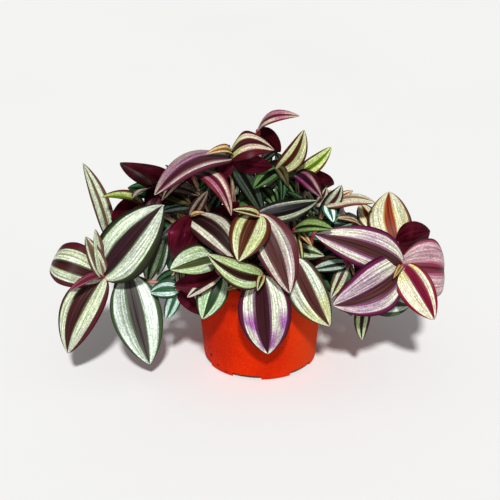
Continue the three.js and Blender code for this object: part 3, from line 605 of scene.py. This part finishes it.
def bladePlaces(root, leaf, flat, phase):
    # the pattern's vertices laid along the leaf's own curve, in millimetres
    tip = np.array(leaf["tip"], float)
    along = unit(tip)
    long = np.linalg.norm(tip) + plant["rootDepth"]
    turn, lift = (math.radians(a) for a in leaf["face"])
    up = np.array([math.cos(turn) * math.cos(lift), math.sin(turn) * math.cos(lift), math.sin(lift)])
    up = unit(up - up.dot(along) * along)
    side = np.cross(along, up)
    root = np.array(root, float) - along * plant["rootDepth"]
    fold, bow = math.radians(leaf["fold"]), leaf["bow"]
    across, below = flat[:, 0], -flat[:, 2]
    edge = np.abs(across)
    share = (1 - np.cos(math.pi * (flat[:, 1] + 1) / 2)) / 2
    half = leaf["wide"] / 2 * outline(share)
    slope = np.arctan(4 * bow * (1 - 2 * share))
    normal = up[None] * np.cos(slope)[:, None] - along[None] * np.sin(slope)[:, None]
    arch = 4 * long * share * (1 - share)
    puff = plant["puff"] * half * (1 - (2 * edge - 1) ** 2) * np.clip(4 * share * (1 - share), 0, 1)
    waves = plant["waves"][0] + plant["waves"][1] * math.sin(phase)
    turns = share * 2 * math.pi * waves + phase + (across > 0) * plant["otherSide"]
    wave = plant["wave"] * half * edge ** 2 * np.sin(turns)
    thick = plant["thick"] + (plant["thinEdge"] - plant["thick"]) * edge
    thick *= np.clip(leaf["wide"] / plant["fullWidth"], plant["leastThick"], 1.0)
    rise = edge * half * math.sin(fold) + puff + wave - below * thick
    aside = leaf["sweep"] * arch + across * half * math.cos(fold)
    return (root[None] + along[None] * (long * share)[:, None] + up[None] * (bow * arch)[:, None]
            + side[None] * aside[:, None] + normal * rise[:, None])


def stemPath(points):
    # a smooth centripetal curve through the joints
    places = []
    count, steps = len(points), plant["rings"]
    for i in range(count - 1):
        p1, p2 = points[i], points[i + 1]
        p0 = points[i - 1] if i else 2 * points[0] - points[1]
        p3 = points[i + 2] if i + 2 < count else 2 * points[-1] - points[-2]
        d0, d1, d2 = (max(np.linalg.norm(b - a) ** 0.5, 1e-4) for a, b in ((p0, p1), (p1, p2), (p2, p3)))
        t1 = ((p1 - p0) / d0 - (p2 - p0) / (d0 + d1) + (p2 - p1) / d1) * d1
        t2 = ((p2 - p1) / d1 - (p3 - p1) / (d1 + d2) + (p3 - p2) / d2) * d1
        bend, twist = -3 * p1 + 3 * p2 - 2 * t1 - t2, 2 * p1 - 2 * p2 + t1 + t2
        for t in (k / steps for k in range(steps + (i == count - 2))):
            places.append(p1 + t1 * t + bend * t ** 2 + twist * t ** 3)
    return np.array(places)


def stemMesh(name, stem):
    # the jointed stem as one closed tube, thicker and redder at each joint, rounded off past the last
    path, sides, ends = stem["path"], plant["stemSides"], plant["stemEnd"]
    last = unit(path[-1] - path[-2])
    widths = [1.0] * len(path) + [width for _, width in ends]
    path = np.vstack([path] + [path[-1] + last * past for past, _ in ends])
    tangents = np.gradient(path, axis=0)
    tangents /= np.linalg.norm(tangents, axis=1)[:, None]
    cross = unit(np.cross(tangents[0], plant["firstSide"]))
    places, uvs, near, run = [], [], [], 0.0
    for i, (place, tangent) in enumerate(zip(path, tangents)):
        if i:
            run += np.linalg.norm(place - path[i - 1])
        cross = unit(cross - cross.dot(tangent) * tangent)
        other = np.cross(tangent, cross)
        gap = np.linalg.norm(stem["joints"][1:] - place, axis=1).min()
        swell = math.exp(-(gap / plant["swellRun"]) ** 2)
        radius = (plant["stemRadius"] + (plant["jointRadius"] - plant["stemRadius"]) * swell) * widths[i]
        for k in range(sides):
            angle = 2 * math.pi * k / sides
            places.append(place + radius * (math.cos(angle) * cross + math.sin(angle) * other))
            uvs.append((k / sides, run * plant["skinPerMm"]))
            near.append(math.exp(-(gap / plant["redRun"]) ** 2))
    end = len(places) - sides
    faces = [(start + k, start + (k + 1) % sides, start + (k + 1) % sides + sides, start + k + sides)
             for start in range(0, end, sides) for k in range(sides)]
    faces += [tuple(range(sides))[::-1], tuple(range(end, end + sides))]
    mesh = bpy.data.meshes.new(name)
    mesh.from_pydata([tuple(p * mm) for p in places], [], faces)
    mesh.polygons.foreach_set("use_smooth", [True] * len(mesh.polygons))
    mesh.polygons.foreach_set("material_index", [2] * len(mesh.polygons))
    layUv(mesh, uvs)
    mesh.attributes.new("nearJoint", "FLOAT", "POINT").data.foreach_set("value", near)
    return linked(name, mesh)


def fill(mesh, name, value, kind="FLOAT_COLOR", field="color"):
    # the same value for every vertex of a blade
    layer = mesh.attributes.new(name, kind, "POINT")
    layer.data.foreach_set(field, np.tile(np.array(value, np.float32), len(mesh.vertices)))


def phaseOf(stem, k):
    # gives the k-th leaf of a stem its own waves and streaks
    return stem["number"] * plant["stemPhase"] + k * plant["leafPhase"]


def paintBlade(mesh, leaf, phase, band, shade, seam, heart, rim, blush, much, at, run, seamWide=3):
    for name, tone in (("band", band), ("shade", shade), ("heart", heart), ("rim", rim)):
        fill(mesh, name, colour(*tone))
    fill(mesh, "seam", colour(*seam)[:3] + (seamWide / 100,))
    fill(mesh, "blush", colour(*blush)[:3] + (much / 100,))
    vary = plant["markPlay"] * np.sin(phase * np.array(plant["markPhases"]))
    fill(mesh, "marks", leaf["marks"] or np.array(plant["usualMarks"]) + vary)
    fill(mesh, "leafData", [at / 100, run / 100, phase * plant["colourPhase"]], "FLOAT_VECTOR", "vector")


def makeLeafyStem(name, stem):
    piece = stemMesh(name, stem)
    blades = []
    for k, leaf in enumerate(stem["leaves"] + stem["innerLeaves"]):
        large = k < len(stem["leaves"])
        pattern, flat = (largeBlade, largeFlat) if large else (smallBlade, smallFlat)
        root = stem["joints"][leaf["at"]] if large else leaf["at"]
        blades.append(linked(name, pattern.data.copy()))
        mesh, phase = blades[-1].data, phaseOf(stem, k)
        places = bladePlaces(root, leaf, flat, phase) * mm
        mesh.vertices.foreach_set("co", places.astype(np.float32).ravel())
        paintBlade(mesh, leaf, phase, *tones[leaf["tone"]])
    for kind in ("face", "back", "stem"):
        piece.data.materials.append(finishes[kind])
    makeActive(piece)
    for blade in blades:
        blade.select_set(True)
    bpy.ops.object.join()
    piece = bpy.context.object
    piece.select_set(False)
    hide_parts("leafy_stem_" + name)
    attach(piece, "root")


# small leaves inside the mound, where the solids leave the stems bare: every few millimetres up a stem, a leaf to
# each side in turn. A pair is a range of random draws. The mound's outline is in millimetres, as the camera sees it.
inner = {
    "seed": 5, "step": 9.0, "above": 8, "endRings": 6, "tries": 18, "innermost": 80.0, "outermost": 132.0,
    "tilt": (-0.6, 0.6), "forward": (-0.1, 0.9), "upward": (-0.7, 0.3), "long": (24.0, 42.0), "breadth": 0.5,
    "turn": (-40, 40), "lift": (30, 65), "bow": (0.05, 0.25), "fold": (-6, 16), "sight": 3000.0, "sample": 5,
    # the small leaves' tones are dark: painted shade for the inside of the mound
    "hidden": 0.5, "tones": ["deepGreen", "shadeGreen", "teal", "blackGreen", "brownGreen", "plumShade",
                             "blackGreen", "deepGreen"],
    "mound": [(-127, 43), (-111, 49), (-95, 74), (-78, 67), (-61, 80), (-35, 85), (-9, 96), (10, 101), (30, 85),
              (43, 95), (56, 78), (70, 61), (83, 50), (129, 43), (139, 24), (134, -43), (106, -54), (70, -54),
              (43, -43), (-9, -35), (-70, -43), (-87, -74), (-106, -83), (-117, -43), (-124, 9)],
}

# then small leaves across the lines of sight that would run through the mound, on a coarse and a finer grid, in dark
# tones that paint the deep shade inside the mound
gaps = {
    "steps": (3.0, 1.9), "across": (-130, 140), "up": (-90, 102), "above": 4, "endRings": 4, "reach": 14.0,
    "tries": 60, "depth": (-6, 6), "longer": (1.5, 2.1), "long": (20, 44), "breadth": (0.42, 0.56),
    "turn": (-130, -50), "lift": (20, 60), "bow": (0.05, 0.2), "fold": (-4, 14),
    "tones": ["blackGreen", "shadeGreen", "deepGreen", "plumShade", "teal", "brownGreen"],
}

# and before both, the small leaves that the photo shows between the large ones, in rows as above, but each grows at
# a ring of the stem's path and is nudged at random until it crosses no other leaf
nudge = {"tries": 60, "tip": (-1, 1, 3), "more": 0.12, "turn": (-25, 25), "lift": (-20, 20)}
smallLeaves = {
    "left": [(46, (-2, 12, -24), 11, (-95, 15), 10, 4, "shadeGreen")],
    "leftTop": [(20, (-24, -17, 2), 12, (-90, 50), 12, 4, "aqua")],
    "leftHigh": [(19, (14, -20, -4), 9, (-90, 50), 10, 4, "teal")],
    "topRight": [(16, (-8, -17, 25), 10, (-90, 30), 12, 8, "shadeGreen"),
                (15, (-22, -16, 8), 9, (-90, 40), 10, 8, "frost")],
    "rightBack": [(24, (-23, -15, 9), 11, (-90, 50), 12, 6, "pale")],
    "frontLeftLow": [(9, (16, -28, -2), 9, (-90, 50), 10, 6, "pale")],
}

def inMound(place):
    # whether a place, in millimetres, lies inside the mound's outline as the camera sees it
    rise, far = math.radians(studio["rise"]), studio["distance"] / mm
    x, y, z = place - np.array(studio["target"]) / mm
    size = far / (far + y * math.cos(rise) - z * math.sin(rise))
    right, up = x * size, (y * math.sin(rise) + z * math.cos(rise)) * size
    inside = False
    for (x1, y1), (x2, y2) in zip(inner["mound"], inner["mound"][1:] + inner["mound"][:1]):
        if (y1 > up) != (y2 > up) and right < x1 + (up - y1) / (y2 - y1) * (x2 - x1):
            inside = not inside
    return inside


def turnedStem(like, turn, size):
    # a stem like another, turned about the pot's axis and drawn in towards the soil's middle
    angle, edge = math.radians(turn), plant["soilEdge"]

    def placed(x, y):
        return size * (x * math.cos(angle) - y * math.sin(angle)), size * (x * math.sin(angle) + y * math.cos(angle))

    joints = [placed(j[0], j[1]) + tuple(edge + size * (z - edge) for z in j[2:]) for j in stems[like]["joints"]]
    leaves = [dict(leaf, tip=placed(leaf["tip"][0], leaf["tip"][1]) + (size * leaf["tip"][2],),
                   wide=size * leaf["wide"], face=(leaf["face"][0] + turn, leaf["face"][1]))
              for leaf in stems[like]["leaves"]]
    return {"joints": joints, "leaves": leaves}


largeBlade, largeFlat, largeFaces = bladePattern("largeBlade", *plant["largeCells"])
smallBlade, smallFlat, smallFaces = bladePattern("smallBlade", *plant["smallCells"])
allStems = dict(stems)
allStems.update({name: turnedStem(*back) for name, back in backStems.items()})
for number, stem in enumerate(allStems.values()):
    foot = tuple(stem["joints"][0]) + (plant["stemFoot"],)
    stem["joints"] = np.array([foot] + stem["joints"][1:], float)
    stem.update(number=number, path=stemPath(stem["joints"]), innerLeaves=[])

# the leaves so far, in millimetres, as trees of faces: the large ones in the first, then each small one
rng = np.random.default_rng(inner["seed"])
eye = np.array(eyePlace()) / mm
crowd = []


def bladeTree(places, faces):
    return BVHTree.FromPolygons([tuple(place) for place in places], faces)


def plantLarge():
    # the first tree, and how many of its faces the front stems have
    places, faces = [], []
    for stem in allStems.values():
        for k, leaf in enumerate(stem["leaves"]):
            faces.extend(tuple(v + len(places) * len(largeFlat) for v in face) for face in largeFaces)
            places.append(bladePlaces(stem["joints"][leaf["at"]], leaf, largeFlat, phaseOf(stem, k)))
    crowd.append(bladeTree(np.vstack(places), faces))
    return sum(len(stem["leaves"]) for stem in stems.values()) * len(largeFaces)


frontFaces = plantLarge()


def meet(tree, away):
    # where a line of sight meets a tree
    return tree.ray_cast(Vector(eye), Vector(away), inner["sight"])


def tryLeaf(stem, leaf):
    # the places and the tree that a small leaf would have as the stem's next
    phase = phaseOf(stem, len(stem["leaves"]) + len(stem["innerLeaves"]))
    places = bladePlaces(leaf["at"], leaf, smallFlat, phase)
    return places, bladeTree(places, smallFaces)


def crosses(blade):
    return any(blade.overlap(tree) for tree in crowd)


def add(stem, leaf, blade):
    stem["innerLeaves"].append(leaf)
    crowd.append(blade)


def drawn(values, *names):
    return [rng.uniform(*values[name]) for name in names]


def smallLeaf(at, along, long, wide, outward, values):
    turn, lift, bow, fold = drawn(values, "turn", "lift", "bow", "fold")
    tone = values["tones"][rng.integers(len(values["tones"]))]
    return {"at": at, "tip": tuple(along * long), "wide": wide, "face": (outward + turn, lift), "bow": bow,
            "fold": fold, "tone": tone, "sweep": 0.0, "marks": None}


def fitsIn(places, blade):
    # clear of every leaf, and from the camera hidden or in a gap between the leaves of the mound: one that would
    # cross another, hide a leaf of a front stem or stand out of the mound is left out
    if places[:, 2].min() < inner["innermost"] or np.linalg.norm(places[:, :2], axis=1).max() > inner["outermost"]:
        return False
    if crosses(blade):
        return False
    for place in places[::inner["sample"]]:
        away = Vector(place - eye)
        distance = away.length
        away.normalize()
        hit, _, face, far = meet(crowd[0], away)
        if hit is not None and far < distance - inner["hidden"]:
            continue
        if not inMound(place) or (hit is not None and face < frontFaces):
            return False
    return True


def addPhotoLeaf(stem, leaf):
    leaf["at"] = stem["path"][leaf["at"]]
    wanted, (turn, lift) = np.array(leaf["tip"], float), leaf["face"]
    for attempt in range(nudge["tries"]):
        blade = tryLeaf(stem, leaf)[1]
        if not crosses(blade):
            return add(stem, leaf, blade)
        leaf["tip"] = tuple(wanted + rng.uniform(*nudge["tip"]) * (1 + attempt * nudge["more"]))
        moreTurn, moreLift = drawn(nudge, "turn", "lift")
        leaf["face"] = (turn + moreTurn, lift + moreLift)


def addAlong(stem):
    path, run, side = stem["path"], 0.0, 1
    for k in range(1, len(path) - inner["endRings"]):
        run += np.linalg.norm(path[k] - path[k - 1])
        if path[k][2] < inner["innermost"] + inner["above"] or run < inner["step"]:
            continue
        run, side = 0.0, -side
        growing = unit(path[k + 1] - path[k - 1])
        outward = math.degrees(math.atan2(path[k][1], path[k][0]))
        for _ in range(inner["tries"]):
            aside = unit(np.cross(growing, drawn(inner, "tilt", "tilt") + [1.0]))
            forward, upward, long = drawn(inner, "forward", "upward", "long")
            along = unit(side * aside + growing * forward + np.array([0, 0, upward]))
            leaf = smallLeaf(path[k], along, long, long * inner["breadth"], outward, inner)
            places, blade = tryLeaf(stem, leaf)
            if fitsIn(places, blade):
                add(stem, leaf, blade)
                break


def closeGaps(step):
    # a small leaf across each line of sight that runs through the mound without meeting a leaf
    starts = [(stem, place) for stem in allStems.values() for place in stem["path"][:-gaps["endRings"]]
              if place[2] > inner["innermost"] + gaps["above"]]
    spots = np.array([place for _, place in starts])
    middle = np.array(studio["target"]) / mm
    ahead = unit(middle - eye)
    right = unit(np.cross(ahead, [0, 0, 1.0]))
    up = np.cross(right, ahead)
    lines = [(a, b) for a in np.arange(*gaps["across"], step) for b in np.arange(*gaps["up"], step)]
    for target in (middle + right * a + up * b for a, b in lines):
        away = unit(target - eye)
        if not inMound(target) or any(meet(tree, away)[0] is not None for tree in crowd):
            continue
        feet = eye + np.outer((spots - eye) @ away, away)
        reach = np.abs(np.linalg.norm(feet - spots, axis=1) - gaps["reach"])
        for n in np.argsort(reach)[:gaps["tries"]]:
            stem, place = starts[n]
            depth, longer, breadth = drawn(gaps, "depth", "longer", "breadth")
            toGap = feet[n] + away * depth - place
            long = float(np.clip(np.linalg.norm(toGap) * longer, *gaps["long"]))
            leaf = smallLeaf(place, unit(toGap), long, long * breadth, 0, gaps)
            places, blade = tryLeaf(stem, leaf)
            if meet(blade, away)[0] is not None and fitsIn(places, blade):
                add(stem, leaf, blade)
                break


for name, rows in smallLeaves.items():
    for row in rows:
        addPhotoLeaf(allStems[name], leafFromRow(*row))
for stem in allStems.values():
    addAlong(stem)
for step in gaps["steps"]:
    closeGaps(step)
print("inner leaves added:", len(crowd) - 1)
for name, stem in allStems.items():
    makeLeafyStem(name, stem)
bpy.data.objects.remove(largeBlade)
bpy.data.objects.remove(smallBlade)
print("leafy stems made:", len(allStems))

# The pot. "Rings" are steps out and up: in shares of the rounding at the foot and at the lip's underside and top,
# and in millimetres at the neck and the mouth.
pot = {
    "height": 92, "baseRadius": 50, "wallTopRadius": 56.4, "lipRadius": 60, "lipHeight": 13, "wall": 1.6, "floor": 2,
    "rounding": 0.7, "steps": 120, "slots": 6, "slotWide": 26, "slotDeep": 9, "slotHigh": 3.6, "firstSlot": -104,
    "slotCorner": 0.6, "wallHeights": (4.2, 5.6, 16, 34, 54), "footRings": ((-1, 0), (-0.3, 0.3)),
    "neckRings": ((-0.15, -0.6), (0.35, -0.1)), "underRings": ((-1, 0.2), (-0.25, 0.55), (0, 1.4)),
    "topRings": ((0, -1), (-0.3, -0.3), (-1, 0)), "mouthRing": (0.2, -0.1), "smooth": 32,
}


def turnedSolid(name, profile, sides):
    # a cone whose top is drawn up, out and in from ring to ring of (radius, height), in millimetres
    (r0, z0), (r1, z1) = profile[:2]
    middle = (z0 + z1) / 2 * mm
    makeActive()
    bpy.ops.mesh.primitive_cone_add(vertices=sides, radius1=r0 * mm, radius2=r1 * mm, depth=(z1 - z0) * mm,
                                    location=(0, 0, middle), end_fill_type="NGON")
    piece = bpy.context.object
    piece.name = name
    bpy.ops.object.transform_apply(location=True, rotation=True, scale=True)
    selectOnly(piece, "FACE", lambda face: len(face.vertices) == sides and face.center.z > middle)
    for (r, z), (nextR, nextZ) in zip(profile[1:], profile[2:]):
        bpy.ops.mesh.extrude_region_move(TRANSFORM_OT_translate={"value": (0, 0, (nextZ - z) * mm)})
        bpy.ops.transform.resize(value=(nextR / r, nextR / r, 1), center_override=(0, 0, nextZ * mm))
    bpy.ops.mesh.select_all(action="SELECT")
    bpy.ops.mesh.normals_make_consistent(inside=False)
    bpy.ops.object.mode_set(mode="OBJECT")
    return piece


def makePot():
    # the wall, lip and inside drawn out ring by ring, then the slots cut at the corner of its base
    lipFoot, top, wall, floor = pot["height"] - pot["lipHeight"], pot["height"], pot["wall"], pot["floor"]
    base, neck, lip, r = pot["baseRadius"], pot["wallTopRadius"], pot["lipRadius"], pot["rounding"]
    slope, mouth = (neck - base) / lipFoot, lip - wall
    profile = [(base + out * r, up * r) for out, up in pot["footRings"]]
    profile += [(base + slope * height, height) for height in (r,) + pot["wallHeights"]]
    profile += [(neck + out, lipFoot + up) for out, up in pot["neckRings"]]
    profile += [(lip + out * r, lipFoot + up * r) for out, up in pot["underRings"]]
    profile += [(lip + out * r, top + up * r) for out, up in pot["topRings"]]
    profile += [(mouth + pot["mouthRing"][0], top + pot["mouthRing"][1]), (mouth, top - r),
                (mouth - r, lipFoot + r), (neck - wall, lipFoot), (base - wall + slope * floor, floor)]
    piece = turnedSolid("nurseryPot", profile, pot["steps"])
    away = (base - pot["slotDeep"] / 3) * mm
    for i in range(pot["slots"]):
        angle = math.radians(pot["firstSlot"] + i * 360 / pot["slots"])
        makeActive()
        bpy.ops.mesh.primitive_cube_add(
            size=1, location=(math.cos(angle) * away, math.sin(angle) * away, 0), rotation=(0, 0, angle),
            scale=(pot["slotDeep"] * mm, pot["slotWide"] * mm, 2 * pot["slotHigh"] * mm))
        cutter = bpy.context.object
        bpy.ops.object.transform_apply(location=True, rotation=True, scale=True)
        bevel = cutter.modifiers.new("corners", "BEVEL")
        bevel.width, bevel.segments = pot["slotCorner"] * mm, 2
        bpy.ops.object.modifier_apply(modifier="corners")
        makeActive(piece)
        cut = piece.modifiers.new("slot", "BOOLEAN")
        cut.object, cut.operation, cut.solver = cutter, "DIFFERENCE", "EXACT"
        bpy.ops.object.modifier_apply(modifier="slot")
        bpy.data.objects.remove(cutter)
    bpy.ops.object.shade_smooth_by_angle(angle=math.radians(pot["smooth"]))
    piece.data.materials.clear()
    piece.data.materials.append(finishes["pot"])
    piece.select_set(False)
    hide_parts("pot")
    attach(piece, "root")


makePot()
print("pot made")

# the soil
soil = {
    "gap": 0.3, "edge": 76, "crown": 4, "rings": 26, "spokes": 96, "bodyHeights": (20, 40, 60, 74.8), "margin": 1,
    "crumbs": 0.7, "level": 0.4, "heaped": 0.6, "seed": 11,
}


def makeSoil():
    # a plug that fills the pot, its slightly raised top drawn in ring by ring and then roughened into crumbs
    def insideAt(height):
        rise = height / (pot["height"] - pot["lipHeight"])
        return pot["baseRadius"] + (pot["wallTopRadius"] - pot["baseRadius"]) * rise - pot["wall"] - soil["gap"]

    edge, margin = insideAt(soil["edge"]), soil["margin"]
    profile = [(insideAt(h), h) for h in (pot["floor"] + soil["gap"],) + soil["bodyHeights"]]
    for share in (1 - k / soil["rings"] for k in range(soil["rings"])):
        profile.append((edge * share, soil["edge"] - soil["crumbs"] + soil["crown"] * (1 - share ** 2)))
    piece = turnedSolid("soilInPot", profile, soil["spokes"])
    for vertex in piece.data.vertices:
        vertex.select = vertex.co.z > (soil["edge"] - margin) * mm and vertex.co.xy.length < (edge - margin) * mm
    bpy.ops.object.mode_set(mode="EDIT")
    bpy.ops.transform.vertex_random(offset=soil["crumbs"] * mm, uniform=soil["level"], normal=soil["heaped"],
                                    seed=soil["seed"])
    bpy.ops.object.mode_set(mode="OBJECT")
    bpy.ops.object.shade_smooth()
    piece.data.materials.clear()
    piece.data.materials.append(finishes["soil"])
    piece.select_set(False)
    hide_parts("soil")
    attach(piece, "root")


makeSoil()
print("soil made")


# floor, light and camera
def makeStudio():
    makeActive()
    bpy.ops.mesh.primitive_plane_add(size=studio["floorSize"], location=(0, 0, -studio["floorDrop"]))
    floor = bpy.context.object
    floor.name = "paleFloor"
    paint = Paint("paleFloor", studio)
    cloud = paint.noise(paint.here(), studio["floorClouds"])
    paint.put(paint.shader["Base Color"], paint.mix(cloud, studio["floor"], studio["floorShade"]))
    paint.shader["Roughness"].default_value = studio["floorRoughness"]
    floor.data.materials.append(paint.material)
    world = bpy.data.worlds.new("room")
    bpy.context.scene.world = world
    world.use_nodes = True
    world.node_tree.nodes["Background"].inputs[0].default_value = (1.0, 1.0, 1.0, 1.0)
    world.node_tree.nodes["Background"].inputs[1].default_value = studio["room"]
    lamp = bpy.data.lights.new("keyLight", "SUN")
    lamp.energy, lamp.angle = studio["sunPower"], math.radians(studio["sunSoftness"])
    turn, lift = math.radians(studio["sunTurn"]), math.radians(studio["sunRise"])
    towards = Vector((math.cos(turn) * math.cos(lift), math.sin(turn) * math.cos(lift), math.sin(lift)))
    linked("keyLight", lamp).rotation_euler = towards.to_track_quat("Z", "Y").to_euler()
    lens = bpy.data.cameras.new("camera")
    lens.lens, lens.sensor_width = studio["lens"], studio["sensor"]
    lens.clip_start, lens.clip_end = studio["clip"]
    camera = linked("camera", lens)
    camera.location = eyePlace()
    camera.rotation_euler = (Vector(studio["target"]) - camera.location).to_track_quat("-Z", "Y").to_euler()
    bpy.context.scene.camera = camera


makeStudio()
bpy.context.scene.view_settings.view_transform = "Standard"
makeActive()
print("studio made")
